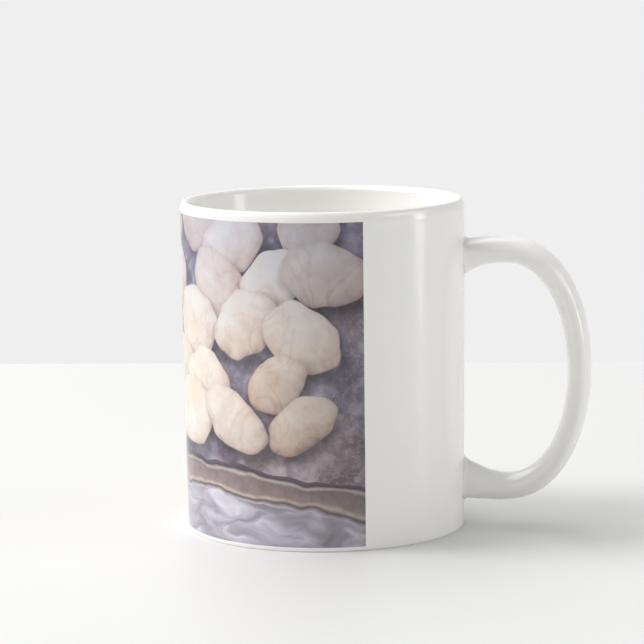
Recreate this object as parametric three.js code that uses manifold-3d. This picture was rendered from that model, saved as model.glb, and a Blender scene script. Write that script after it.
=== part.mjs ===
// A straight-sided ceramic mug with one D-shaped handle, all of one fired piece.
// Millimetres, +Z up. The handle points along +X. The origin is on the surface that the mug stands
// on, below the middle of its overall box, so the mug's own axis lies a little way along -X.

import * as THREE from 'three';
import { mergeVertices } from 'three/addons/utils/BufferGeometryUtils.js';
import Module from 'manifold-3d';

// ---- driving dimensions ----

const HEIGHT = 95;
const RIM_RADIUS = 41; // outside of the wall at the rim
const DRAFT = 0.8; // how much narrower the wall is at the foot, so that it leaves its mould
const WALL = 4.4; // full thickness of the wall
const LIP = 3.2; // the wall thins to this at the rim
const LIP_TAPER = 14; // height below the rim over which it thins
const FLOOR_HEIGHT = 6.4; // top of the floor inside, above the table
const FLOOR_CORNER = 8; // radius between the floor and the inside wall

const LIP_CREST = 1.3; // how far in from the outside the lip is highest
const LIP_OUTSIDE_DROP = 3; // how far the lip's rounding runs down the outside
const LIP_INSIDE_DROP = 2;

const FOOT_ROUND = 0.6; // radius under the outside edge
const FOOT_RING_WIDTH = 4; // flat ring that the mug stands on
const RECESS_DEPTH = 1.4; // hollow under the base, inside the ring
const RECESS_SLOPE = 2; // how far the ring's inner side leans in

const HANDLE_REACH = 77.1; // outermost point of the handle, from the axis
const HANDLE_TOP = 84; // highest and lowest points of its outer edge
const HANDLE_FOOT = 6.9;
const HANDLE_ARM = 11.8; // straight part of each arm, from the wall to where the bow starts
const HANDLE_WIDTH = 14; // of the strap, along the wall
const THICKNESS_AT_ARMS = 7.8; // across the strap, in the plane of the handle
const THICKNESS_AT_BOW = 6.8;

// 2 is an ellipse, and more is squarer
const BOW_SQUARENESS = 2.1;
const STRAP_SQUARENESS = 2;

// The arms swell before they meet the wall: over what length, by how much, and how late. Outside
// they first draw in a little, and then end in a small fillet.
const UPPER_ROOT_INSIDE = { length: 12, swell: 3.6, power: 3 };
const LOWER_ROOT_INSIDE = { length: 12, swell: 5, power: 2 };
const UPPER_ROOT_DRAWN_IN = { length: 12, swell: 1.1, power: 2 };
const LOWER_ROOT_DRAWN_IN = { length: 12, swell: 0.6, power: 2 };
const ROOT_OUTSIDE = { length: 3, swell: 1.7, power: 2 };
const ROOT_SIDEWAYS = { length: 8, swell: 1.2, power: 2 };
const ROOT_BITE = 2; // how far an arm's end is sunk into the wall

// ---- fineness ----

const SIDES = 80; // round the body
const ARC_STEPS = 6; // along each rounded edge of the profile
const WALL_STEPS = 4;
const STRAP_STEPS = 80; // along the handle
const STRAP_SIDES = 18; // round the handle
const BOW_POINTS = 24; // points that the bow's curve passes through

const CERAMIC = new THREE.MeshStandardMaterial({
  name: 'glazed_ceramic',
  color: 0xf3f2ee,
  roughness: 0.12,
  metalness: 0,
});

// ---- the body ----

const footRadius = RIM_RADIUS - DRAFT;
const insideAtFloor = footRadius - WALL;

// Points of a quarter turn of an ellipse, from one angle to another, in radius and height.
function arc(centreRadius, centreHeight, wide, high, fromDegrees, toDegrees, steps = ARC_STEPS) {
  const points = [];
  for (let i = 0; i <= steps; i++) {
    const angle = THREE.MathUtils.degToRad(
      THREE.MathUtils.lerp(fromDegrees, toDegrees, i / steps),
    );
    points.push(
      new THREE.Vector2(
        centreRadius + wide * Math.cos(angle),
        centreHeight + high * Math.sin(angle),
      ),
    );
  }
  return points;
}

// Points strictly between two ends of a straight wall.
function between(start, end, steps = WALL_STEPS) {
  return Array.from({ length: steps - 1 }, (_, i) => start.clone().lerp(end, (i + 1) / steps));
}

// Points strictly between two ends of a wall that changes its thickness smoothly.
function eased(start, end, steps = WALL_STEPS) {
  return Array.from({ length: steps - 1 }, (_, i) => {
    const t = (i + 1) / steps;
    return new THREE.Vector2(
      THREE.MathUtils.lerp(start.x, end.x, THREE.MathUtils.smoothstep(t, 0, 1)),
      THREE.MathUtils.lerp(start.y, end.y, t),
    );
  });
}

// The half section of the body, from the axis under the base round to the axis on the floor.
function bodyProfile() {
  const ringOuter = footRadius - FOOT_ROUND;
  const ringInner = ringOuter - FOOT_RING_WIDTH;
  const underside = [
    new THREE.Vector2(0, RECESS_DEPTH),
    new THREE.Vector2(ringInner - RECESS_SLOPE, RECESS_DEPTH),
    new THREE.Vector2(ringInner, 0),
  ];
  const footEdge = arc(ringOuter, FOOT_ROUND, FOOT_ROUND, FOOT_ROUND, -90, 0, 3);
  const crest = RIM_RADIUS - LIP_CREST;
  const lipOutside = arc(crest, HEIGHT - LIP_OUTSIDE_DROP, LIP_CREST, LIP_OUTSIDE_DROP, 0, 90);
  const lipInside = arc(crest, HEIGHT - LIP_INSIDE_DROP, LIP - LIP_CREST, LIP_INSIDE_DROP, 90, 180);
  const fullWall = new THREE.Vector2(RIM_RADIUS - WALL, HEIGHT - LIP_TAPER);
  const floorCorner = arc(
    insideAtFloor - FLOOR_CORNER, FLOOR_HEIGHT + FLOOR_CORNER, FLOOR_CORNER, FLOOR_CORNER, 0, -90,
  );
  return [
    ...underside,
    ...footEdge,
    ...between(footEdge.at(-1), lipOutside[0]),
    ...lipOutside,
    ...lipInside.slice(1),
    ...eased(lipInside.at(-1), fullWall),
    fullWall,
    ...between(fullWall, floorCorner[0]),
    ...floorCorner,
    new THREE.Vector2(0, FLOOR_HEIGHT),
  ];
}

function bodyGeometry() {
  const turned = new THREE.LatheGeometry(bodyProfile(), SIDES);
  return turned.rotateX(Math.PI / 2); // a lathe turns about Y, and the mug stands on Z
}

// ---- the handle ----

const half = THICKNESS_AT_ARMS / 2;
const bowStart = RIM_RADIUS + HANDLE_ARM;
const bowMiddle = (HANDLE_TOP + HANDLE_FOOT) / 2;
const bowDeep = HANDLE_REACH - THICKNESS_AT_BOW / 2 - bowStart;
const bowHigh = (HANDLE_TOP - HANDLE_FOOT) / 2 - half;
const rootEnd = RIM_RADIUS - ROOT_BITE;

// A point of an oval between an ellipse and a rectangle.
function ovalPoint(halfWide, halfHigh, squareness, angle) {
  const bend = (x) => Math.sign(x) * Math.abs(x) ** (2 / squareness);
  return [halfWide * bend(Math.cos(angle)), halfHigh * bend(Math.sin(angle))];
}

// The strap's middle line: out along the upper arm, round the bow and back along the lower arm.
function strapLine() {
  const points = [new THREE.Vector3(rootEnd, 0, bowMiddle + bowHigh)];
  for (let i = 0; i <= BOW_POINTS; i++) {
    const angle = Math.PI * (0.5 - i / BOW_POINTS);
    const [across, up] = ovalPoint(bowDeep, bowHigh, BOW_SQUARENESS, angle);
    points.push(new THREE.Vector3(bowStart + Math.max(across, 0), 0, bowMiddle + up));
  }
  points.push(new THREE.Vector3(rootEnd, 0, bowMiddle - bowHigh));
  return new THREE.CatmullRomCurve3(points, false, 'centripetal');
}

// The strap's section, which the line carries round: first across the strap, then along the wall.
function strapSection() {
  const outline = Array.from({ length: STRAP_SIDES }, (_, i) => {
    const angle = (2 * Math.PI * i) / STRAP_SIDES;
    return new THREE.Vector2(...ovalPoint(HANDLE_WIDTH / 2, half, STRAP_SQUARENESS, angle));
  });
  return new THREE.Shape(outline);
}

// How far a root has swollen at a distance from the wall.
function swellAt(distance, root) {
  const nearness = THREE.MathUtils.clamp(1 - distance / root.length, 0, 1);
  return root.swell * nearness ** root.power;
}

// Pares the strap down round the bow, and swells its roots.
function shapeStrap(geometry, line) {
  const places = geometry.getAttribute('position');
  const stations = line.getSpacedPoints(STRAP_STEPS);
  const place = new THREE.Vector3();
  const offset = new THREE.Vector3();
  for (let i = 0; i < places.count; i++) {
    place.fromBufferAttribute(places, i);
    const inPlane = new THREE.Vector3(place.x, 0, place.z);
    const gaps = stations.map((station) => station.distanceToSquared(inPlane));
    const nearest = gaps.indexOf(Math.min(...gaps));
    const station = stations[nearest];
    const along = line.getTangentAt(nearest / STRAP_STEPS);
    offset.subVectors(inPlane, station);
    const outwards = (offset.z * along.x - offset.x * along.z) / half; // -1 to 1 across the strap
    const upper = station.z > bowMiddle;
    const distance = station.x - RIM_RADIUS;
    const thickness = THREE.MathUtils.lerp(THICKNESS_AT_BOW, THICKNESS_AT_ARMS, along.x ** 2);
    const inside = swellAt(distance, upper ? UPPER_ROOT_INSIDE : LOWER_ROOT_INSIDE);
    const drawnIn = swellAt(distance, upper ? UPPER_ROOT_DRAWN_IN : LOWER_ROOT_DRAWN_IN);
    const swell = outwards < 0 ? inside : swellAt(distance, ROOT_OUTSIDE) - drawnIn;
    offset.set(-along.z, 0, along.x).multiplyScalar(outwards * (thickness / 2 + swell));
    const sideways = 1 + swellAt(distance, ROOT_SIDEWAYS) / (HANDLE_WIDTH / 2);
    places.setXYZ(i, station.x + offset.x, place.y * sideways, station.z + offset.z);
  }
  return geometry;
}

function handleGeometry() {
  const line = strapLine();
  const strap = new THREE.ExtrudeGeometry(strapSection(), {
    extrudePath: line,
    steps: STRAP_STEPS,
  });
  return shapeStrap(strap, line);
}

// ---- joining ----

const wasm = await Module();
wasm.setup();

function toSolid(geometry) {
  const bare = geometry.index ? geometry.toNonIndexed() : geometry;
  const merged = mergeVertices(
    new THREE.BufferGeometry().setAttribute('position', bare.getAttribute('position')),
    1e-3,
  );
  return new wasm.Manifold(
    new wasm.Mesh({
      numProp: 3,
      vertProperties: merged.getAttribute('position').array,
      triVerts: new Uint32Array(merged.index.array),
    }),
  );
}

function toGeometry(solid) {
  const { vertProperties, triVerts } = solid.getMesh();
  const geometry = new THREE.BufferGeometry();
  geometry.setAttribute('position', new THREE.BufferAttribute(vertProperties, 3));
  geometry.setIndex(new THREE.BufferAttribute(triVerts, 1));
  geometry.computeVertexNormals();
  return geometry;
}

const fired = toSolid(bodyGeometry()).add(toSolid(handleGeometry()));

const mug = new THREE.Mesh(toGeometry(fired), CERAMIC);
mug.name = 'mug';
mug.geometry.computeBoundingBox();
mug.position.x = -mug.geometry.boundingBox.getCenter(new THREE.Vector3()).x;

const part = new THREE.Group();
part.add(mug);

export default part;
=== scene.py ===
# %% [markdown]
# # A printed ceramic mug
# This notebook dresses one mug: a straight-sided body with a thin round lip, a floor and a foot
# ring, and a D-shaped handle that grows out of the wall. Potters make the body and the handle
# apart and join them with wet clay, so that after firing they are one piece. We follow them: the
# body is turned on a lathe, two windows are opened in its wall, and the handle's strap is sewn
# into them, so that the skin runs on without a seam.
#
# The mug's lengths are written in millimetres and turned to metres where a vertex is placed. The
# table, the lamps and the camera are set in metres.

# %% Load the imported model
import math
import random

import bmesh
import bpy
from mathutils import Matrix, Quaternion, Vector


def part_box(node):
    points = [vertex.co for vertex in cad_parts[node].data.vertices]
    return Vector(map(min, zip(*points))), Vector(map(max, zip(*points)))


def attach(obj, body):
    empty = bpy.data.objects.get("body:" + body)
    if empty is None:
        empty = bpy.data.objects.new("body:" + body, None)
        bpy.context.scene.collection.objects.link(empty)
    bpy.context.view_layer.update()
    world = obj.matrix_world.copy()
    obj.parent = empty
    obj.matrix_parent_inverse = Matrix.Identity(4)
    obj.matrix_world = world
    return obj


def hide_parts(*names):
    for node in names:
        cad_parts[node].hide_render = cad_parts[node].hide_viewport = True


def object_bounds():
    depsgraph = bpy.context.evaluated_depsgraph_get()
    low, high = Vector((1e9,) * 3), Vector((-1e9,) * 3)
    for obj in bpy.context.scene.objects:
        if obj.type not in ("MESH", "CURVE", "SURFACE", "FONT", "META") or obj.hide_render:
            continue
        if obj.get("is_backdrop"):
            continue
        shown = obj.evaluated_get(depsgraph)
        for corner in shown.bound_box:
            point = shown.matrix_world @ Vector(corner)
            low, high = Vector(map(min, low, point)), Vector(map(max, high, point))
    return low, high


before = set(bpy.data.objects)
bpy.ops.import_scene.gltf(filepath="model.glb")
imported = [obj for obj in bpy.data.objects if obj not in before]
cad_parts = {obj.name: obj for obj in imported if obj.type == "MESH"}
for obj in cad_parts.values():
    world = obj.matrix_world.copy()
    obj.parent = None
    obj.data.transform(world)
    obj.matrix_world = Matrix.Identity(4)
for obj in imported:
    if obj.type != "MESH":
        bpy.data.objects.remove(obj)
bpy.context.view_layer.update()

MM = 0.001
mug_low, mug_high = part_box("mug")
print("the packed mug is", [round(side / MM, 1) for side in mug_high - mug_low], "mm")

# %% [markdown]
# ## The sizes
# A mug has few sizes, and each of them is named once. The origin lies below the middle of the
# overall box, handle included, so the mug's own axis is a little way along -X. It is found from
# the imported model's left side, which the body touches.

# %% Name the sizes
HEIGHT = 95.0
RIM_RADIUS = 41.0
FOOT_RADIUS = 40.2  # the wall draws in by this little, so that the casting leaves its mould
WALL = 4.4
LIP = 3.2  # the wall is thinner here, which is kinder to drink from
FLOOR = 6.4
FLOOR_CORNER = 8.0
AXIS_X = mug_low.x / MM + RIM_RADIUS

HANDLE_REACH = 77.1
HANDLE_TOP, HANDLE_FOOT = 84.0, 6.9
HANDLE_WIDTH = 14.0
THICK_AT_TOP, THICK_AT_FOOT, THICK_AT_BOW = 7.9, 7.6, 6.8
print("the mug's axis is at x =", round(AXIS_X, 3), "mm")

# %% [markdown]
# ## The half section
# A lathe needs one line: the outline of the wall cut through, from the middle of the underside,
# round the foot and the lip, to the middle of the floor. Rounded edges are quarters of an oval.
# The smooth surface comes from subdivision later, so the line needs only a few points on each
# curve, and rows where the handle will be let in.

# %% Draw the half section
ROOT_ROWS_LOW = (4.6, 8.1, 11.6, 15.1, 18.6)
ROOT_ROWS_HIGH = (72.6, 75.9, 79.2, 82.5, 85.8)
WALL_ROWS = (*ROOT_ROWS_LOW, 23, 31, 40, 49, 58, 65.5, *ROOT_ROWS_HIGH, 88.8, 91)


def wall_radius(height):
    """The outside of the wall at a height above the table."""
    return FOOT_RADIUS + (RIM_RADIUS - FOOT_RADIUS) * min(max(height / HEIGHT, 0), 1)


def oval_arc(middle, wide, high, start, end, steps):
    """Points on part of an oval, from one angle to another, both included."""
    turns = [math.radians(start + (end - start) * i / steps) for i in range(steps + 1)]
    return [(middle[0] + wide * math.cos(t), middle[1] + high * math.sin(t)) for t in turns]


inner = FOOT_RADIUS - WALL
underside = [(0, 1.4), (12, 1.4), (24, 1.4), (31.5, 1.4), (33.6, 1.2), (34.8, 0.5), (35.5, 0)]
foot = [(37.4, 0), *oval_arc((39.6, 0.6), 0.6, 0.6, -90, 0, 3), (40.2, 1.8)]
outside = [(wall_radius(z), z) for z in WALL_ROWS]
lip_crest = RIM_RADIUS - 1.3
lip = oval_arc((lip_crest, 92), 1.3, HEIGHT - 92, 0, 90, 4)
lip += oval_arc((lip_crest, 93), LIP - 1.3, HEIGHT - 93, 90, 180, 4)[1:]
inside = [(37.5, 90.6), (37.15, 88), (36.85, 85), (36.6, 81), (36.45, 76)]
inside += [(36.3, 68), (36.15, 56), (36, 40), (35.9, 25)]
corner = oval_arc((inner - FLOOR_CORNER, FLOOR + FLOOR_CORNER), FLOOR_CORNER, FLOOR_CORNER, 0, -90, 5)
floor_line = [(22, FLOOR), (11, FLOOR), (0, FLOOR)]
section = [*underside, *foot, *outside, *lip, *inside, *corner, *floor_line]
print("the half section has", len(section), "points")

# %% [markdown]
# ## Turning the body
# `bmesh.ops.spin` sweeps the line round the axis, as a potter's wheel does. A full turn meets
# itself, so `use_merge` joins its ends, and the points on the axis are merged into one pole. The
# section's own place along the line is stored on each vertex, because the layout of the surface
# for baking needs it at the end.

# %% Turn the body
AROUND = 64

mug = bmesh.new()
along = mug.verts.layers.float.new("along")
strap_run = mug.verts.layers.float.new("strap_run")
strap_turn = mug.verts.layers.float.new("strap_turn")
line = []
for i, (radius, height) in enumerate(section):
    point = mug.verts.new((radius * MM, 0, height * MM))
    point[along] = i
    line.append(point)
for a, b in zip(line, line[1:]):
    mug.edges.new((a, b))
bmesh.ops.spin(
    mug, geom=mug.verts[:] + mug.edges[:], cent=(0, 0, 0), axis=(0, 0, 1),
    angle=math.tau, steps=AROUND, use_merge=True,
)
bmesh.ops.remove_doubles(mug, verts=mug.verts, dist=1e-3 * MM)
bmesh.ops.recalc_face_normals(mug, faces=mug.faces)
print("the turned body has", len(mug.faces), "faces")

# %% [markdown]
# ## The strap's line
# The handle's middle line leaves the wall straight, goes round a bow that is slightly squarer
# than half an oval, fuller above than below, and comes straight back. `bend` squares an oval's
# sine and cosine. The strap is thickest at its two arms, where it carries the weight, and each
# arm spreads before it meets the wall, with a small round fillet where the joint was sponged.

# %% Describe the strap
BOW_SQUARENESS, STRAP_SQUARENESS = 2.1, 2.0
BOW_START = 52.8  # how far from the axis the arms end and the bow starts
BOW_MIDDLE = (HANDLE_TOP + HANDLE_FOOT) / 2
BOW_DEEP = HANDLE_REACH - THICK_AT_BOW / 2 - BOW_START
BOW_HIGH = (HANDLE_TOP - HANDLE_FOOT) / 2 - THICK_AT_TOP / 2
STRAP_SIDES = 16
ROOT_LENGTH = 12.0  # the arms start to spread this far from the wall
SIDE_SPREAD = 0.5
OUTER_FILLET, SIDE_FILLET, INNER_FILLET = 1.7, 1.0, 0.5
# Of each arm: its thickness, how late on the bow it swells to that, how far its inner face
# spreads at the wall and how late, and how far its outer face draws in.
UPPER_ARM = (THICK_AT_TOP, 0.6, 3.5, 3, 1.1)
LOWER_ARM = (THICK_AT_FOOT, 3.5, 5.0, 2, 0.6)


def bend(value, squareness):
    """Squares an oval: 2 leaves it as it is, and more brings it nearer to a rectangle."""
    return math.copysign(abs(value) ** (2 / squareness), value)


def bow_point(turn):
    """A point of the strap's middle line, for a turn of 90 degrees at the top to -90 below."""
    across = BOW_DEEP * bend(max(math.cos(turn), 0), BOW_SQUARENESS)
    height = BOW_MIDDLE + BOW_HIGH * bend(math.sin(turn), BOW_SQUARENESS)
    return Vector((BOW_START + across, 0, height))


def fillet(distance, size):
    """How far a round fillet stands out at a distance from the wall."""
    return size - math.sqrt(size**2 - (size - distance) ** 2) if distance < size else 0


def outline(distance, upper, lean):
    """Half width, and thickness outwards and inwards of the middle line, of the strap there."""
    arm, swelling, spread, lateness, drawn_in = UPPER_ARM if upper else LOWER_ARM
    half = (THICK_AT_BOW + (arm - THICK_AT_BOW) * lean**swelling) / 2
    near = max(1 - distance / ROOT_LENGTH, 0)
    side = HANDLE_WIDTH / 2 + SIDE_SPREAD * near**2 + fillet(distance, SIDE_FILLET)
    outwards = half - drawn_in * near**2 + fillet(distance, OUTER_FILLET)
    return side, outwards, half + spread * near**lateness + fillet(distance, INNER_FILLET)


print("the bow is", round(BOW_DEEP, 1), "mm deep and", round(2 * BOW_HIGH, 1), "mm high")

# %% [markdown]
# ## Opening the wall
# At each root four by four faces are taken out of the wall. `bmesh.ops.delete` takes their edges
# and inner vertices with them, and leaves a rim of sixteen edges, as many as the strap has sides.

# %% Open two windows for the handle
ROOTS = {"upper": ROOT_ROWS_HIGH, "lower": ROOT_ROWS_LOW}
OUTER_SKIN = 38.0  # what lies farther out than this is on the outside of the wall
column = math.tau / AROUND
window_rims = {}
for name, rows in ROOTS.items():
    taken = [
        face for face in mug.faces
        if (middle := face.calc_center_median() / MM).x > OUTER_SKIN
        and rows[0] < middle.z < rows[-1]
        and abs(math.atan2(middle.y, middle.x)) < 2 * column
    ]
    bmesh.ops.delete(mug, geom=taken, context="FACES")
    window_rims[name] = [
        edge for edge in mug.edges
        if edge.is_boundary and rows[0] - 1 < edge.verts[0].co.z / MM < rows[-1] + 1
    ]
    print(name, "window:", len(taken), "faces out, a rim of", len(window_rims[name]), "edges")

# %% [markdown]
# ## Sliding the rims to shape
# Each rim is still a square of wall edges. Its vertices are slid along the wall to the oval of the
# strap's root, each to the sixteenth of a turn that it is nearest to, so that later each side of
# the strap meets one edge of the rim. The strap's own coordinates are stored on them as well.

# %% Slide the rims
CENTRE = {"upper": BOW_MIDDLE + BOW_HIGH, "lower": BOW_MIDDLE - BOW_HIGH}
for name, rim in window_rims.items():
    rows = ROOTS[name]
    upper = name == "upper"
    side, outwards, inwards = outline(0, upper, 1)
    for point in {vert for edge in rim for vert in edge.verts}:
        sideways = point.co.y / MM / (RIM_RADIUS * math.sin(2 * column))
        upwards = (point.co.z / MM - rows[2]) / (rows[4] - rows[2])
        step = math.tau / STRAP_SIDES
        turn = step * round(math.atan2(upwards, sideways) / step)
        high = outwards if (math.sin(turn) > 0) == upper else inwards
        y = side * bend(math.cos(turn), STRAP_SQUARENESS)
        z = CENTRE[name] + high * bend(math.sin(turn), STRAP_SQUARENESS)
        point.co = Vector((math.sqrt(wall_radius(z) ** 2 - y**2), y, z)) * MM
        point[strap_run] = 0 if upper else 1
        point[strap_turn] = (turn if upper else -turn) / math.tau % 1
    print("the", name, "root is", round(2 * side, 1), "mm wide and", round(outwards + inwards, 1), "mm high")

# %% [markdown]
# ## Sewing in the strap
# The strap is a row of sixteen-sided loops. Each starts as a circle from
# `bmesh.ops.create_circle`, is squared and stretched to the strap's section, and is stood across
# the middle line. Close to the wall the loops follow its roundness. `bridge_loops` then joins
# each loop to the next, and the first and the last to the windows.

# %% Make one loop of the strap
HUGGING = 3  # loops nearer to the wall than this follow its roundness


def strap_loop(centre, lean, upper, distance, run):
    """Adds a loop of the strap across its middle line, and returns its edges."""
    side, outwards, inwards = outline(distance, upper, abs(lean.x))
    ring = bmesh.ops.create_circle(mug, segments=STRAP_SIDES, radius=1)["verts"]
    away = Vector((-lean.z, 0, lean.x))  # out of the bow, square to the middle line
    for point in ring:
        across, out = (bend(value, STRAP_SQUARENESS) for value in point.co.xy)
        place = centre + away * out * (outwards if out > 0 else inwards)
        place.y = side * across
        if distance < HUGGING:
            wall = wall_radius(place.z)
            place.x = distance + math.sqrt(wall**2 - place.y**2)
        point[strap_run] = run
        point[strap_turn] = math.atan2(point.co.y, point.co.x) / math.tau % 1
        point.co = place * MM
    return list({edge for point in ring for edge in point.link_edges})


print("loops within", HUGGING, "mm of the wall follow it")

# %% [markdown]
# ## Spacing the loops
# The loops are dense at the wall, where the root spreads, and evenly spaced on the bow. The bow's
# oval has no formula for even steps, so it is walked in fine ones and the length is added up.

# %% Find even steps on the bow
FINE_STEPS = 720
BOW_LOOPS = 17


def even_steps(count):
    """Turns that part the bow into stretches of one length."""
    turns = [math.radians(90 - 180 * i / FINE_STEPS) for i in range(FINE_STEPS + 1)]
    run = [0.0]
    for a, b in zip(turns, turns[1:]):
        run.append(run[-1] + (bow_point(b) - bow_point(a)).length)
    wanted = [run[-1] * i / (count - 1) for i in range(count)]
    return [turns[min(range(FINE_STEPS + 1), key=lambda i: abs(run[i] - w))] for w in wanted]


bow_turns = even_steps(BOW_LOOPS)
print("the bow's first step is", round(math.degrees(bow_turns[0] - bow_turns[1]), 1), "degrees")

# %% Place the strap's loops
NEAR_WALL = (0.4, 1.1, 2.1, 3.8, 6.4)  # distances of the first loops from the wall
OUT, BACK = Vector((1, 0, 0)), Vector((-1, 0, 0))
NUDGE = math.radians(0.5)
stations = [(Vector((RIM_RADIUS + gap, 0, CENTRE["upper"])), OUT, True, gap) for gap in NEAR_WALL]
for turn in bow_turns:
    before, after = min(turn + NUDGE, math.pi / 2), max(turn - NUDGE, -math.pi / 2)
    lean = (bow_point(after) - bow_point(before)).normalized()
    centre = bow_point(turn)
    stations.append((centre, lean, turn > 0, centre.x - RIM_RADIUS))
for gap in reversed(NEAR_WALL):
    stations.append((Vector((RIM_RADIUS + gap, 0, CENTRE["lower"])), BACK, False, gap))
loops = [
    strap_loop(*station, (number + 1) / (len(stations) + 1)) for number, station in enumerate(stations)
]
print("the strap has", len(loops), "loops")

# %% [markdown]
# ## Bridging the loops
# `bridge_loops` joins two loops of as many edges by a band of faces. It leaves their direction to
# chance where a mesh is open, so the normals are recalculated once the surface is closed.

# %% Bridge the loops
strap_faces = []
chain = [window_rims["upper"], *loops, window_rims["lower"]]
for a, b in zip(chain, chain[1:]):
    strap_faces += bmesh.ops.bridge_loops(mug, edges=a + b)["faces"]
bmesh.ops.recalc_face_normals(mug, faces=mug.faces)
print("the mug has", len(mug.faces), "faces and", sum(e.is_boundary for e in mug.edges), "open edges")

# %% [markdown]
# ## Unrolling the surface
# To carry the print into a picture file, each face needs a place on a flat square. The body is
# unrolled like a label: across is the way round and up is the way along the half section. The
# print gets most of the square, because it holds the finest detail, and the strap lies in a band
# of its own below. So the square is shared out first: each stretch of the turn and of the half
# section has its share, and within it a point's place follows the real length.

# %% Share out the square
PRINTED_TURN = math.radians(70.25)  # the print starts and ends this far from the handle
TURN_SHARES = [(0, 0), (PRINTED_TURN, 0.1), (math.tau - PRINTED_TURN, 0.9), (math.tau, 1)]
ROW_SHARES = [([*underside, *foot], 0.12, 0.25), (outside, 0.25, 0.8), (lip, 0.8, 0.84)]
ROW_SHARES.append(([*inside, *corner, *floor_line], 0.84, 0.995))
STRAP_BAND = 0.1
MARGIN = 0.005  # bare space round the strap's band, so that no colour bleeds over


def between_stops(value, stops):
    """A value carried from one scale to another that changes its pace at stops."""
    for (low, start), (high, end) in zip(stops, stops[1:]):
        if value <= high:
            break
    return start + (end - start) * (value - low) / (high - low)


row_places = []
last = section[0]
for points, low_share, high_share in ROW_SHARES:
    run = [math.dist(a, b) for a, b in zip([last, *points], points)]
    for i in range(len(points)):
        row_places.append(low_share + (high_share - low_share) * sum(run[: i + 1]) / sum(run))
    last = points[-1]
wall_end = row_places[len(underside + foot + outside) - 1]
print("the outside of the wall ends at", round(wall_end, 2), "of the square's height")

# %% [markdown]
# ## Writing the layout
# The layout is written corner by corner, because one vertex can lie at two places of the square.
# At a seam each face takes the turn nearest to its own, so that none is stretched over the whole
# square, and a point on the axis takes the middle of its face.

# %% Write the layout
layout = mug.loops.layers.uv.new("OFBake")
strap_set = set(strap_faces)
for face in mug.faces:
    on_strap = face in strap_set
    turns = {}
    for corner_here in face.loops:
        point = corner_here.vert
        if on_strap:
            turns[corner_here] = point[strap_turn]
        elif point.co.xy.length > 1 * MM:
            turns[corner_here] = math.atan2(point.co.y, point.co.x) / math.tau % 1
    farthest = max(turns.values())
    for corner_here, turn in turns.items():
        if farthest - turn > 0.5:
            turns[corner_here] = turn + 1
    middle_turn = sum(turns.values()) / len(turns)
    for corner_here in face.loops:
        turn = turns.get(corner_here, middle_turn)
        if on_strap:
            along_band = MARGIN + (1 - 2 * MARGIN) * corner_here.vert[strap_run]
            spot = (along_band, MARGIN + (STRAP_BAND - 2 * MARGIN) * turn)
        else:
            row = row_places[round(corner_here.vert[along])]
            spot = (between_stops(turn * math.tau, TURN_SHARES), row)
        corner_here[layout].uv = spot
print("the layout has", sum(len(face.loops) for face in mug.faces), "corners")

# %% [markdown]
# ## The mesh
# The ring that the mug stands on will get a finish of its own, so its faces are marked while they
# can still be told by their height. Then the mug moves to its place, with the point it stands on
# below the middle of the whole, and becomes an object with a live Subdivision Surface.

# %% Make the mesh
SMOOTHNESS = 2
FOOT_INSIDE = 35.0  # the foot ring lies farther out than this

foot_faces = [
    face for face in mug.faces
    if all(
        abs(point.co.z) < 0.01 * MM and point.co.xy.length > FOOT_INSIDE * MM for point in face.verts
    )
]
for face in foot_faces:
    face.material_index = 1
print("the foot ring has", len(foot_faces), "faces")
bmesh.ops.translate(mug, verts=mug.verts, vec=(AXIS_X * MM, 0, 0))
mesh = bpy.data.meshes.new("mug_skin")
mug.to_mesh(mesh)
mug.free()
mesh.shade_smooth()
mug_piece = bpy.data.objects.new("mug_skin", mesh)
bpy.context.scene.collection.objects.link(mug_piece)
smooth = mug_piece.modifiers.new("smooth", "SUBSURF")
smooth.levels = smooth.render_levels = SMOOTHNESS

# %% [markdown]
# ## A cage that fits
# Catmull-Clark subdivision pulls a surface in from its cage, so a mug modelled to size would come
# out too small. Here the cage is pushed out again by what each of its points lost, a few times
# over, and each time the smooth surface comes closer to the true sizes.

# %% Fit the cage
FIT_ROUNDS = 4
wanted = [point.co.copy() for point in mesh.vertices]
for _ in range(FIT_ROUNDS):
    seen = mug_piece.evaluated_get(bpy.context.evaluated_depsgraph_get()).data
    missing = [goal - seen.vertices[i].co for i, goal in enumerate(wanted)]
    for point, shift in zip(mesh.vertices, missing):
        point.co += shift
    mesh.update()
    print("largest miss was", round(max(shift.length for shift in missing) / MM, 3), "mm")

# %% [markdown]
# ## Colours and nodes
# Colours are written as sRGB hex values, as a paint chart gives them, and the shader wants linear
# light, so one function turns the one into the other. Another small function adds a node with its
# settings and its inputs, so that each pattern below reads as a short list of steps.

# %% Helpers for materials
def linear(hex_colour):
    """An sRGB hex colour as linear red, green, blue and alpha."""
    shares = [int(hex_colour[i : i + 2], 16) / 255 for i in (1, 3, 5)]
    return (*(s / 12.92 if s <= 0.04045 else ((s + 0.055) / 1.055) ** 2.4 for s in shares), 1)


def in_use(sockets, key):
    """The socket with this name, or this number, among those that the node's settings leave on."""
    return sockets[key] if isinstance(key, int) else next(s for s in sockets if s.enabled and s.name == key)


def add_node(tree, kind, inputs=None, stops=(), **settings):
    """Adds a node. An input is a value, an output of another node, or a node for its first output."""
    made = tree.nodes.new(kind)
    for name, value in settings.items():
        setattr(made, name, value)
    for number, (position, colour) in enumerate(stops):
        marks = made.color_ramp.elements
        mark = marks[number] if number < 2 else marks.new(position)
        mark.position, mark.color = position, linear(colour)
    for key, value in (inputs or {}).items():
        if isinstance(value, bpy.types.Node):
            value = next(output for output in value.outputs if output.enabled)
        if isinstance(value, bpy.types.NodeSocket):
            tree.links.new(value, in_use(made.inputs, key))
        else:
            in_use(made.inputs, key).default_value = value
    return made


print("mid grey in linear light is", round(linear("#808080")[0], 3))

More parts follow.
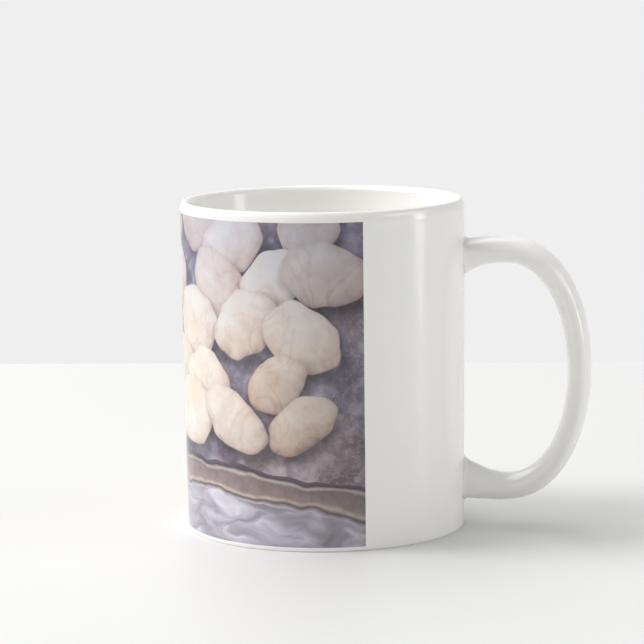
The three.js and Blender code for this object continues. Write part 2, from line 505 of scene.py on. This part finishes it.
# %% [markdown]
# ## The sheet of the print
# A print is put on a mug as a flat sheet of dyes, wrapped round the wall and heated until they
# sink into its coating, which is why it ends in sharp straight edges and feels as smooth as the
# bare glaze. So the picture is drawn on a flat sheet too. One coordinate is the way round the
# wall, measured from the middle of the sheet opposite the handle, and the other is the height,
# both in millimetres. They are worked out from Object coordinates, so nothing is stretched.

# %% Find places on the sheet
SHEET_HALF = RIM_RADIUS * (math.pi - PRINTED_TURN)
SHEET_LOW, SHEET_HIGH = 1.3, 92.2

glaze = bpy.data.materials.new("glazed_stoneware")
glaze.use_nodes = True
tree = glaze.node_tree
shader = tree.nodes["Principled BSDF"]
place = add_node(tree, "ShaderNodeTexCoord").outputs["Object"]
turned = add_node(tree, "ShaderNodeMapping", {
    "Vector": place, "Location": (AXIS_X, 0, 0), "Scale": (-1 / MM, -1 / MM, 1 / MM),
})
parts = add_node(tree, "ShaderNodeSeparateXYZ", {"Vector": turned})
up = parts.outputs["Z"]
turn = add_node(tree, "ShaderNodeMath", {0: parts.outputs["Y"], 1: parts.outputs["X"]}, operation="ARCTAN2")
across = add_node(tree, "ShaderNodeMath", {0: turn, 1: RIM_RADIUS}, operation="MULTIPLY")
flat = add_node(tree, "ShaderNodeCombineXYZ", {"X": across, "Y": up})
print("the sheet is", round(2 * SHEET_HALF, 1), "mm wide and", round(SHEET_HIGH - SHEET_LOW, 1), "mm high")

# %% [markdown]
# ## Cutting the sheet
# The sheet has hard edges, so what lies on it is found by comparing: the way round with the
# sheet's half width, the height with its two edges, and the distance from the axis with that of
# the outer skin, which keeps the print off the inside. The three answers, each 0 or 1, multiplied
# are a mask.

# %% Cut the sheet to size
OUTSIDE = RIM_RADIUS - 2
level = add_node(tree, "ShaderNodeVectorMath", {0: turned, 1: (1, 1, 0)}, operation="MULTIPLY")
from_axis = add_node(tree, "ShaderNodeVectorMath", {0: level}, operation="LENGTH")
on_outside = add_node(tree, "ShaderNodeMath", {0: from_axis, 1: OUTSIDE}, operation="GREATER_THAN")
between_ends = add_node(tree, "ShaderNodeMath", {
    0: across, 1: 0.0, 2: SHEET_HALF,
}, operation="COMPARE")
between_edges = add_node(tree, "ShaderNodeMath", {
    0: up, 1: (SHEET_HIGH + SHEET_LOW) / 2, 2: (SHEET_HIGH - SHEET_LOW) / 2,
}, operation="COMPARE")
on_sheet = add_node(tree, "ShaderNodeMath", {0: between_ends, 1: between_edges}, operation="MULTIPLY")
printed = add_node(tree, "ShaderNodeMath", {0: on_sheet, 1: on_outside}, operation="MULTIPLY")
print("the white margin under the rim is", round(HEIGHT - SHEET_HIGH, 1), "mm high")

# %% [markdown]
# ## Drawing the shore
# The picture is a made-up shore: smooth cream pebbles on slate, and below them a sheet of rippled
# lilac water with a narrow taupe line of wet sand along its edge. It is built of plain fields and
# ovals. A little noise added to the sheet's coordinates first makes every outline uneven, which
# is what tells a stone from a drawn oval. Each noise has its spacing in millimetres on the mug.

# %% Make the outlines uneven
LUMP_SPACING, LUMP_SHIFT = 12, 7
lumps = add_node(tree, "ShaderNodeTexNoise", {
    "Vector": turned, "Scale": 1 / LUMP_SPACING, "Detail": 1.5,
})
centred = add_node(tree, "ShaderNodeVectorMath", {
    0: lumps.outputs["Color"], 1: (0.5, 0.5, 0.5),
}, operation="SUBTRACT")
uneven = add_node(tree, "ShaderNodeVectorMath", {
    0: centred, 1: (LUMP_SHIFT, LUMP_SHIFT, 0), 2: flat,
}, operation="MULTIPLY_ADD")
uneven_parts = add_node(tree, "ShaderNodeSeparateXYZ", {"Vector": uneven})
print("an outline wanders by up to", LUMP_SHIFT / 2, "mm")

# %% [markdown]
# ## The shore line
# The water ends along a slow sine wave. A plain Python function gives its height for scattering
# the pebbles later, and three Math nodes give the same height to the shader. What is left of the
# height above it tells a point's zone: water below, then the ribbon of sand, then land.

# %% Find the shore line
SHORE_HEIGHT, SHORE_SWING, SHORE_PACE, SHORE_START = 12.5, 4, 1 / 24, 0.6


def shore_at(place_across):
    """The height of the water's edge on the sheet."""
    return SHORE_HEIGHT + SHORE_SWING * math.sin(place_across * SHORE_PACE + SHORE_START)


swing = add_node(tree, "ShaderNodeMath", {
    0: uneven_parts.outputs["X"], 1: SHORE_PACE, 2: SHORE_START,
}, operation="MULTIPLY_ADD")
swing = add_node(tree, "ShaderNodeMath", {0: swing}, operation="SINE")
swing = add_node(tree, "ShaderNodeMath", {
    0: swing, 1: SHORE_SWING, 2: SHORE_HEIGHT,
}, operation="MULTIPLY_ADD")
above_shore = add_node(tree, "ShaderNodeMath", {
    0: uneven_parts.outputs["Y"], 1: swing,
}, operation="SUBTRACT")
print("the water ends", round(shore_at(0), 1), "mm up at the middle of the sheet")

# %% [markdown]
# ## Rippling the water
# Ripples are drawn out along the shore, so the coordinates are turned a little and squeezed across
# before they reach the noise. Distortion folds the noise into itself, as wavelets fold.

# %% Ripple the water
RIPPLE_SPACING = 5
RIPPLE_LEAN = 0.35  # radians
RIPPLE_SQUEEZE = 0.35  # makes them about three times as long as they are wide
ripples = add_node(tree, "ShaderNodeMapping", {
    "Vector": uneven, "Rotation": (0, 0, RIPPLE_LEAN), "Scale": (RIPPLE_SQUEEZE, 1, 1),
})
ripples = add_node(tree, "ShaderNodeTexNoise", {
    "Vector": ripples, "Scale": 1 / RIPPLE_SPACING, "Detail": 2, "Distortion": 1.2,
})
water = add_node(tree, "ShaderNodeValToRGB", {"Fac": ripples}, stops=[
    (0.3, "#979098"), (0.45, "#B3ACB9"), (0.55, "#C5BFCE"), (0.7, "#E3DFE9"),
])
print("the ripples are about", RIPPLE_SPACING, "mm apart")

# %% [markdown]
# ## Mottling the slate
# Wet slate is cloudy, warm in places, crossed by fine pale veins and dusted with pale specks. Each
# of these is a layer: a broad noise run through a colour ramp, a broader one that warms patches of
# it, veins where a rough noise passes its middle value, and specks at the centres of Voronoi cells.

# %% Cloud the slate
CLOUD_SPACING, WARM_SPACING = 9, 24
mottle = add_node(tree, "ShaderNodeTexNoise", {
    "Vector": turned, "Scale": 1 / CLOUD_SPACING, "Detail": 7, "Roughness": 0.6,
})
slate = add_node(tree, "ShaderNodeValToRGB", {"Fac": mottle}, stops=[
    (0.3, "#62576A"), (0.45, "#857A8C"), (0.55, "#9E95A9"), (0.68, "#C4BDD0"),
])
warmth = add_node(tree, "ShaderNodeTexNoise", {
    "Vector": turned, "Scale": 1 / WARM_SPACING, "Detail": 3,
})
warmth = add_node(tree, "ShaderNodeMapRange", {
    "Value": warmth, "From Min": 0.48, "From Max": 0.62, "To Max": 0.9,
})
slate = add_node(tree, "ShaderNodeMix", {
    "Factor": warmth, "A": slate, "B": linear("#FFF1DF"),
}, data_type="RGBA", blend_type="MULTIPLY")
print("the slate's clouds are", CLOUD_SPACING, "mm wide, and its warm patches", WARM_SPACING, "mm")

# %% Vein and speckle the slate
VEIN_SPACING, VEIN_STRENGTH = 16, 0.3
VEIN_REACH = 0.014  # how far the noise may be from its middle value
SPECKS = ((6.0, 0.22, 0.4), (2.4, 0.18, 0.25))  # spacing, share of it that a speck takes, strength
veins = add_node(tree, "ShaderNodeTexNoise", {
    "Vector": turned, "Scale": 1 / VEIN_SPACING, "Detail": 8, "Roughness": 0.66, "Distortion": 0.6,
})
veins = add_node(tree, "ShaderNodeMath", {0: veins, 1: 0.5}, operation="SUBTRACT")
veins = add_node(tree, "ShaderNodeMath", {0: veins}, operation="ABSOLUTE")
veins = add_node(tree, "ShaderNodeMapRange", {
    "Value": veins, "From Min": VEIN_REACH, "From Max": 0.0, "To Max": VEIN_STRENGTH,
})
slate = add_node(tree, "ShaderNodeMix", {
    "Factor": veins, "A": slate, "B": linear("#D6D1DC"),
}, data_type="RGBA")
for spacing, size, strength in SPECKS:
    specks = add_node(tree, "ShaderNodeTexVoronoi", {"Vector": turned, "Scale": 1 / spacing})
    specks = add_node(tree, "ShaderNodeMapRange", {
        "Value": specks, "From Min": size, "From Max": size * 0.4, "To Max": strength,
    })
    slate = add_node(tree, "ShaderNodeMix", {
        "Factor": specks, "A": slate, "B": linear("#DDD8DF"),
    }, data_type="RGBA")
print("the slate has specks", " and ".join(str(spacing) for spacing, _, _ in SPECKS), "mm apart")

# %% [markdown]
# ## Laying out the fields
# The ribbon of wet sand has a pale line and a dark line along each edge, where the water left its
# foam and where it soaked in. One ramp across the ribbon gives all of them. Then each field is
# laid over the last where the height above the shore says so.

# %% Stripe the ribbon of sand
RIBBON_LOW, RIBBON_HIGH = -2.0, 8.0  # from the water's edge
GRAIN_SPACING = 2.4
edge = add_node(tree, "ShaderNodeMapRange", {
    "Value": above_shore, "From Min": RIBBON_LOW, "From Max": RIBBON_HIGH,
})
sand = add_node(tree, "ShaderNodeValToRGB", {"Fac": edge}, stops=[
    (0.0, "#DDD8E6"), (0.12, "#6E626A"), (0.2, "#D8CBC0"), (0.3, "#A59796"),
    (0.72, "#94888B"), (0.8, "#D5C9C2"), (0.88, "#5A5260"), (1.0, "#776E7E"),
])
grains = add_node(tree, "ShaderNodeTexNoise", {
    "Vector": turned, "Scale": 1 / GRAIN_SPACING, "Detail": 5,
})
sand = add_node(tree, "ShaderNodeMix", {
    "Factor": grains, "A": sand, "B": linear("#B9ACA8"),
}, data_type="RGBA", blend_type="MULTIPLY")
sand = add_node(tree, "ShaderNodeMix", {
    "Factor": 1.0, "A": sand, "B": (1.2, 1.2, 1.2, 1),
}, data_type="RGBA", blend_type="MULTIPLY")
print("the ribbon is", RIBBON_HIGH - RIBBON_LOW, "mm wide")

# %% Lay out the fields
on_land = add_node(tree, "ShaderNodeMath", {
    0: above_shore, 1: RIBBON_HIGH,
}, operation="GREATER_THAN")
in_water = add_node(tree, "ShaderNodeMath", {0: above_shore, 1: RIBBON_LOW}, operation="LESS_THAN")
ground = add_node(tree, "ShaderNodeMix", {
    "Factor": on_land, "A": sand, "B": slate,
}, data_type="RGBA")
ground = add_node(tree, "ShaderNodeMix", {
    "Factor": in_water, "A": ground, "B": water,
}, data_type="RGBA")
print("the ground takes", len(tree.nodes), "nodes")

# %% [markdown]
# ## Scattering the pebbles
# Stones on a shore lie in loose rows, none of one size, and thin out to one side. So the places
# start on a staggered grid and each is moved, sized, turned and toned by a draw from a seeded
# generator, which gives the same shore each time. None is kept that would lie in the water, nor
# on the bare slate at the right, whose border runs slantwise.

# %% Scatter the pebbles
ROWS, ROW_GAP = 6, 13.5
COLUMNS_EACH_WAY, COLUMN_GAP = 5, 20
TOP_ROW = SHEET_HIGH - 4
SLATE_BORDER, SLATE_SLANT = 71, 0.15
SHORE_GAP = 7
draw = random.Random(11)
pebbles = []
for row in range(ROWS):
    for column in range(-COLUMNS_EACH_WAY, COLUMNS_EACH_WAY + 1):
        middle_across = COLUMN_GAP * (column + row % 2 / 2) + draw.uniform(-4, 4)
        middle_up = TOP_ROW - ROW_GAP * row + draw.uniform(-3, 3)
        halves = (draw.uniform(9.5, 13.5), draw.uniform(7.2, 10))
        lean = math.radians(draw.uniform(-45, 45))
        tone = draw.uniform(0.56, 0.82)
        on_slate = middle_across > SLATE_BORDER - SLATE_SLANT * (SHEET_HIGH - middle_up)
        if middle_up > shore_at(middle_across) + SHORE_GAP and not on_slate:
            pebbles.append((middle_across, middle_up, halves, lean, tone))
print(len(pebbles), "pebbles lie on the sheet")

# %% [markdown]
# ## Laying the pebbles
# Each pebble is an oval laid over all that came before it, from the top row down, as a heap is
# seen from in front. A Mapping node of the kind called Texture turns the sheet so that the oval
# becomes a circle of radius one, and then the length of the coordinate tells how far out a point
# lies. From that and from the side that faces the light come the pebble's tone, its darker rim,
# and the soft shadow that it throws on its neighbours.

# %% Lay the pebbles
FROM_LIGHT = Vector((-0.45, 0.9, 0))  # the light in the picture comes from above and a little left
SOFT_EDGE = 0.96  # of the way out, where a pebble starts to end
LIT_SIDE, RIM_SHARPNESS, DARK_RIM = 0.2, 6.0, 0.26  # how the light and the rim change the tone
SHADOW_SHIFT, SHADOW_START, SHADOW_END, SHADOW_TONE = 0.24, 0.85, 1.22, 0.42
tone, cover, shade = 0.5, 0.0, 1.0
for middle_across, middle_up, halves, lean, own_tone in pebbles:
    local = add_node(tree, "ShaderNodeMapping", {
        "Vector": uneven, "Location": (middle_across, middle_up, 0),
        "Rotation": (0, 0, lean), "Scale": (*halves, 1),
    }, vector_type="TEXTURE")
    reach = add_node(tree, "ShaderNodeVectorMath", {0: local}, operation="LENGTH")
    own_light = Matrix.Rotation(-lean, 3, "Z") @ FROM_LIGHT
    facing = add_node(tree, "ShaderNodeVectorMath", {0: local, 1: own_light}, operation="DOT_PRODUCT")
    inside_it = add_node(tree, "ShaderNodeMapRange", {
        "Value": reach, "From Min": 1.0, "From Max": SOFT_EDGE,
    })
    rim = add_node(tree, "ShaderNodeMath", {0: reach, 1: RIM_SHARPNESS}, operation="POWER")
    lit = add_node(tree, "ShaderNodeMath", {
        0: facing, 1: LIT_SIDE, 2: own_tone,
    }, operation="MULTIPLY_ADD")
    lit = add_node(tree, "ShaderNodeMath", {0: rim, 1: -DARK_RIM, 2: lit}, operation="MULTIPLY_ADD")
    shadow = add_node(tree, "ShaderNodeMath", {
        0: facing, 1: SHADOW_SHIFT, 2: reach,
    }, operation="MULTIPLY_ADD")
    shadow = add_node(tree, "ShaderNodeMapRange", {
        "Value": shadow, "From Min": SHADOW_START, "From Max": SHADOW_END,
        "To Min": SHADOW_TONE, "To Max": 1.0,
    })
    shade = add_node(tree, "ShaderNodeMath", {0: shade, 1: shadow}, operation="MULTIPLY")
    shade = add_node(tree, "ShaderNodeMix", {"Factor": inside_it, "A": shade, "B": 1.0})
    tone = add_node(tree, "ShaderNodeMix", {"Factor": inside_it, "A": tone, "B": lit})
    cover = add_node(tree, "ShaderNodeMath", {0: cover, 1: inside_it}, operation="MAXIMUM")
print("the picture so far takes", len(tree.nodes), "nodes")

# %% [markdown]
# ## Wearing the pebbles
# A worn stone is pitted, and fine darker creases run through it. Both only shift the tone before
# the colours are chosen, so that a pit and a shadow get the same darker cream.

# %% Dimple and crease the pebbles
DIMPLE_SPACING, DIMPLE_STRENGTH = 5, 0.55
DIMPLE_LEVEL = 0.06  # taken off again, or the stones would come out too pale
CREASE_SPACING, CREASE_REACH, CREASE_STRENGTH = 15, 0.05, 0.1
dimples = add_node(tree, "ShaderNodeTexNoise", {
    "Vector": turned, "Scale": 1 / DIMPLE_SPACING, "Detail": 7, "Roughness": 0.66,
})
tone = add_node(tree, "ShaderNodeMath", {
    0: dimples, 1: DIMPLE_STRENGTH, 2: tone,
}, operation="MULTIPLY_ADD")
tone = add_node(tree, "ShaderNodeMath", {0: tone, 1: DIMPLE_LEVEL}, operation="SUBTRACT")
creases = add_node(tree, "ShaderNodeTexNoise", {
    "Vector": turned, "Scale": 1 / CREASE_SPACING, "Detail": 3, "Distortion": 1.5,
})
creases = add_node(tree, "ShaderNodeMath", {0: creases, 1: 0.5}, operation="SUBTRACT")
creases = add_node(tree, "ShaderNodeMath", {0: creases}, operation="ABSOLUTE")
creases = add_node(tree, "ShaderNodeMapRange", {
    "Value": creases, "From Max": CREASE_REACH, "To Min": -CREASE_STRENGTH, "To Max": 0.0,
})
tone = add_node(tree, "ShaderNodeMath", {0: tone, 1: creases}, operation="ADD")
print("dimples lie", DIMPLE_SPACING, "mm apart and creases", CREASE_SPACING, "mm")

# %% [markdown]
# ## Colouring the pebbles
# One ramp turns the tone into cream, from a dull rose in the shade to nearly white in the light. A
# broad noise then blushes some stones warmer, because no two come from the same rock.

# %% Colour the pebbles
BLUSH_SPACING = 17
cream = add_node(tree, "ShaderNodeValToRGB", {"Fac": tone}, stops=[
    (0.3, "#9A868B"), (0.5, "#C6B0A9"), (0.68, "#DECDC2"), (0.85, "#ECDFD5"), (1.0, "#F6EEE6"),
])
blush = add_node(tree, "ShaderNodeTexNoise", {
    "Vector": turned, "Scale": 1 / BLUSH_SPACING, "Detail": 2,
})
blush = add_node(tree, "ShaderNodeMapRange", {
    "Value": blush, "From Min": 0.45, "From Max": 0.7, "To Max": 0.7,
})
cream = add_node(tree, "ShaderNodeMix", {
    "Factor": blush, "A": cream, "B": linear("#F6E4D0"),
}, data_type="RGBA", blend_type="MULTIPLY")
picture = add_node(tree, "ShaderNodeMix", {
    "Factor": cover, "A": ground, "B": cream,
}, data_type="RGBA")
picture = add_node(tree, "ShaderNodeMix", {
    "Factor": 1.0, "A": picture, "B": shade,
}, data_type="RGBA", blend_type="MULTIPLY")
print("stones blush in patches of", BLUSH_SPACING, "mm")

# %% [markdown]
# ## The light in the picture
# A view of a shore is not lit evenly. Here dusk darkens the sheet's right end, and a bluish haze
# lies over its top. Both are flat tints over the whole picture, as a printer would lay them.

# %% Add dusk and haze
DUSK_START, DUSK = 45.0, 0.64
HAZE_START = 56.0
dusk = add_node(tree, "ShaderNodeMapRange", {
    "Value": across, "From Min": DUSK_START, "From Max": SHEET_HALF, "To Min": 1.0, "To Max": DUSK,
})
picture = add_node(tree, "ShaderNodeMix", {
    "Factor": 1.0, "A": picture, "B": dusk,
}, data_type="RGBA", blend_type="MULTIPLY")
haze = add_node(tree, "ShaderNodeMapRange", {
    "Value": up, "From Min": HAZE_START, "From Max": SHEET_HIGH,
})
picture = add_node(tree, "ShaderNodeMix", {
    "Factor": haze, "A": picture, "B": linear("#DEE2F6"),
}, data_type="RGBA", blend_type="MULTIPLY")
print("dusk falls over", round(SHEET_HALF - DUSK_START, 1), "mm of the sheet's width")

# %% [markdown]
# ## The glaze
# Clear glaze over white clay is glass: it is smooth, mirrors lamps sharply, and lets the clay's
# colour through. Its surface is never quite flat, because it ran a little while it melted, so a
# bump of a few hundredths of a millimetre, over many millimetres, makes the mirrored lamps waver.
# The colour under it is the warm white of the clay, or the picture where the sheet lies.

# %% Glaze the mug
WAVE_SPACING, WAVE_DEPTH = 17, 0.04
skin = add_node(tree, "ShaderNodeMix", {
    "Factor": printed, "A": linear("#FBFAF7"), "B": picture,
}, data_type="RGBA")
tree.links.new(in_use(skin.outputs, "Result"), shader.inputs["Base Color"])
shader.inputs["Roughness"].default_value = 0.14
shader.inputs["IOR"].default_value = 1.52
waves = add_node(tree, "ShaderNodeTexNoise", {
    "Vector": turned, "Scale": 1 / WAVE_SPACING, "Detail": 1,
})
waves = add_node(tree, "ShaderNodeBump", {
    "Height": waves, "Distance": WAVE_DEPTH * MM, "Strength": 1.0,
})
tree.links.new(waves.outputs["Normal"], shader.inputs["Normal"])
mesh.materials.append(glaze)
print("the glaze takes", len(tree.nodes), "nodes")

# %% [markdown]
# ## The bare foot
# Melted glaze would weld the mug to the kiln's shelf, so the foot ring is wiped clean before the
# firing. There the dry clay shows: matt, a little darker than the glaze, and gritty to the touch.
# Real grit is a tenth of a millimetre wide, which would not show, so it is drawn five times wider.

# %% Leave the foot bare
GRIT_SPACING, GRIT_DEPTH, BLOTCH_SPACING = 0.5, 0.05, 2.5
bare = bpy.data.materials.new("bare_stoneware")
bare.use_nodes = True
tree = bare.node_tree
shader = tree.nodes["Principled BSDF"]
place = add_node(tree, "ShaderNodeTexCoord").outputs["Object"]
grit = add_node(tree, "ShaderNodeTexNoise", {
    "Vector": place, "Scale": 1 / (GRIT_SPACING * MM), "Detail": 3,
})
bump = add_node(tree, "ShaderNodeBump", {
    "Height": grit, "Distance": GRIT_DEPTH * MM, "Strength": 0.8,
})
tree.links.new(bump.outputs["Normal"], shader.inputs["Normal"])
clay = add_node(tree, "ShaderNodeTexNoise", {
    "Vector": place, "Scale": 1 / (BLOTCH_SPACING * MM), "Detail": 4,
})
clay = add_node(tree, "ShaderNodeValToRGB", {"Fac": clay}, stops=[
    (0.35, "#DED7C8"), (0.65, "#EFEADF"),
])
tree.links.new(clay.outputs["Color"], shader.inputs["Base Color"])
shader.inputs["Roughness"].default_value = 0.8
mesh.materials.append(bare)
print("the glazed mug has", len(mesh.materials), "finishes")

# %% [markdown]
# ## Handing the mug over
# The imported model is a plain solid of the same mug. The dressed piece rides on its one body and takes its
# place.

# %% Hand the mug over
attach(mug_piece, "root")
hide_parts("mug")
print("the dressed mug stands in for the packed one")

# %% [markdown]
# ## The table
# The mug stands on a plain pale tabletop of laminate. Its satin skin scatters what it mirrors, so
# the mug leaves no image in it, only a soft shine. One big face is enough. Its far edge is a little
# way behind the mug, where the table meets the pale wall.

# %% Lay the table
TABLE_BACK = 0.295  # metres behind the mug's axis
TABLE_WIDE, TABLE_DEEP = 8, 4  # metres

floor_mesh = bpy.data.meshes.new("floor")
top = bmesh.new()
bmesh.ops.create_grid(top, x_segments=1, y_segments=1, size=1)
stretched = Matrix.Diagonal((TABLE_WIDE / 2, TABLE_DEEP / 2, 1, 1))
bmesh.ops.transform(top, matrix=stretched, verts=top.verts)
bmesh.ops.translate(top, verts=top.verts, vec=(0, TABLE_BACK - TABLE_DEEP / 2, 0))
top.to_mesh(floor_mesh)
top.free()
floor = bpy.data.objects.new("floor", floor_mesh)
bpy.context.scene.collection.objects.link(floor)
tabletop = bpy.data.materials.new("satin_laminate")
tabletop.use_nodes = True
shader = tabletop.node_tree.nodes["Principled BSDF"]
shader.inputs["Base Color"].default_value = linear("#E4E4E2")
shader.inputs["Roughness"].default_value = 0.5
floor_mesh.materials.append(tabletop)
floor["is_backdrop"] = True
print("the table reaches", TABLE_BACK, "m behind the mug's axis")

# %% [markdown]
# ## The light
# White glaze shows its form only through soft differences, so the light is soft and comes mostly
# from one side. A key panel on the left makes the bright lip and the long shadow to the right. A
# tall narrow strip on the right draws the spot of shine under the lip and the thin line on the
# handle, which tell that the glaze is smooth, and a dimmer glow low beside it draws that shine
# out into a soft upright streak. A high panel on the left is the sky: it brightens all that looks up
# and leaves the handle's roots in the rim's shade. One at the back lightens the table and the far
# wall, and a fill on each side keeps the front from going grey.
#
# The room comes first. It is pale where the camera or a reflection sees it, but it lights less
# than it shows, or the shadows would drown. A Light Path node tells the two apart.

# %% Light the room
ROOM_LIGHT = 0.18
world = bpy.data.worlds.new("room")
world.use_nodes = True
tree = world.node_tree
background = tree.nodes["Background"]
background.inputs["Color"].default_value = linear("#EFEFEF")
seen = add_node(tree, "ShaderNodeLightPath")
direct = add_node(tree, "ShaderNodeMath", {
    0: seen.outputs["Is Camera Ray"], 1: seen.outputs["Is Glossy Ray"],
}, operation="ADD")
strength = add_node(tree, "ShaderNodeMapRange", {
    "Value": direct, "To Min": ROOM_LIGHT, "To Max": 1.0,
})
tree.links.new(strength.outputs["Result"], background.inputs["Strength"])
bpy.context.scene.world = world
print("the room gives", ROOM_LIGHT, "of the light that it shows")

# %% [markdown]
# ## A panel
# Studio lamps stand on a circle round the object, so a panel's place is given as one would give it
# to a helper: how far round, how high up, how far away. Each panel is turned to face its target
# and is hidden from the camera, which would otherwise see it from some sides.

# %% Describe a panel
axis = Vector((AXIS_X * MM, 0, 0))


def around(turn, rise, away):
    """A place at a turn round the mug's axis and a rise over the table, in degrees, and a distance."""
    turn, rise = math.radians(turn), math.radians(rise)
    level = Vector((math.cos(turn), math.sin(turn), 0)) * math.cos(rise)
    return axis + (level + Vector((0, 0, math.sin(rise)))) * away


def add_panel(name, place, target, size, watts, shape="RECTANGLE"):
    """Adds a soft panel of light that faces a target."""
    lamp = bpy.data.lights.new(name, "AREA")
    lamp.shape = shape
    lamp.size, lamp.size_y = size
    lamp.energy = watts
    panel = bpy.data.objects.new(name, lamp)
    panel.location = place
    panel.rotation_mode = "QUATERNION"
    panel.rotation_quaternion = (target - place).to_track_quat("-Z", "Y")
    panel.visible_camera = False
    bpy.context.scene.collection.objects.link(panel)


print("a panel at 0 degrees stands at the handle's side, at", [round(v, 2) for v in around(0, 0, 1)])

# %% [markdown]
# ## Setting the panels
# Distances and sizes are in metres. The strip and the glow are small and close, because they are
# there to be mirrored. The others are large or far, because they are there to light.

# %% Set up the panels
mug_middle = axis + Vector((0, 0, 0.05))
strip_height, glow_height = Vector((0, 0, 0.135)), Vector((0, 0, 0.065))
add_panel("key", around(181, 38, 3.2), mug_middle, (1.2, 1.2), 50)
strip_place, glow_place = around(-4.6, 0, 0.58) + strip_height, around(-5.4, 0, 0.42) + glow_height
add_panel("strip", strip_place, axis + strip_height, (0.108, 0.21), 0.29)
add_panel("glow", glow_place, axis + glow_height, (0.075, 0.13), 0.045, "ELLIPSE")
add_panel("sky", around(177, 63, 2.6), mug_middle, (1.6, 1.6), 20.5)
add_panel("back_light", around(121, 50, 2.6), mug_middle, (2.0, 2.0), 23)
add_panel("right_fill", around(-13, 27, 1.1), mug_middle, (0.9, 0.3), 2.0)
add_panel("left_fill", around(-138, 45, 2.4), mug_middle, (2.0, 2.0), 13)
print("seven panels light the mug")

# %% [markdown]
# ## The snoot
# A white mug is bright inside, because light that falls in is passed from wall to wall. A snoot, a
# lamp in a narrow tube, stands straight over the mouth and sends in a little more of it, and its
# cone is too narrow to touch the outside of the wall or the handle.

# %% Fill the inside
SNOOT_HEIGHT, SNOOT_CONE = 0.7, math.radians(6)
snoot = bpy.data.lights.new("snoot", "SPOT")
snoot.energy = 12
snoot.spot_size = SNOOT_CONE
snoot.spot_blend = 0.6
snoot.shadow_soft_size = 0.01
snoot_lamp = bpy.data.objects.new("snoot", snoot)
snoot_lamp.location = axis + Vector((0, 0, SNOOT_HEIGHT))
bpy.context.scene.collection.objects.link(snoot_lamp)
pool = 2 * SNOOT_HEIGHT * math.tan(SNOOT_CONE / 2)
print("the snoot's pool is", round(pool / MM), "mm wide at the table's height")

# %% [markdown]
# ## The camera
# The camera looks at the mug from in front and a little above, slightly round towards the handle's
# side, through a long lens, which keeps the sides almost upright. The plain view transform is
# chosen, because pale glaze would go grey under one made for scenes of strong contrast.

# %% Place the camera
CAMERA_PLACE = Vector((0.0562, -0.8064, 0.1755))  # metres from the foot of the mug's axis
HEADING, DIP, ROLL = math.radians(4.02), math.radians(8.2), math.radians(0.8)
camera_data = bpy.data.cameras.new("camera")
camera_data.lens = 157.8
camera_data.sensor_width = 36
camera = bpy.data.objects.new("camera", camera_data)
bpy.context.scene.collection.objects.link(camera)
level_look = Vector((-math.sin(HEADING), math.cos(HEADING), 0)) * math.cos(DIP)
look = level_look - Vector((0, 0, math.sin(DIP)))
camera.location = axis + CAMERA_PLACE
camera.rotation_mode = "QUATERNION"
camera.rotation_quaternion = look.to_track_quat("-Z", "Y") @ Quaternion((0, 0, 1), -ROLL)
bpy.context.scene.camera = camera
bpy.context.scene.view_settings.view_transform = "Standard"
print("the camera is", round(CAMERA_PLACE.length, 2), "m from the mug")

# %% [markdown]
# ## The last measure
# A dressed part has to keep the size of the imported one, or it would not fit what holds it. The dressed
# mug's box is measured and printed, to set beside the packed mug's box printed at the start.

# %% Measure the dressed mug
low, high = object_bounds()
print("the dressed mug is", [round(side / MM, 1) for side in high - low], "mm")
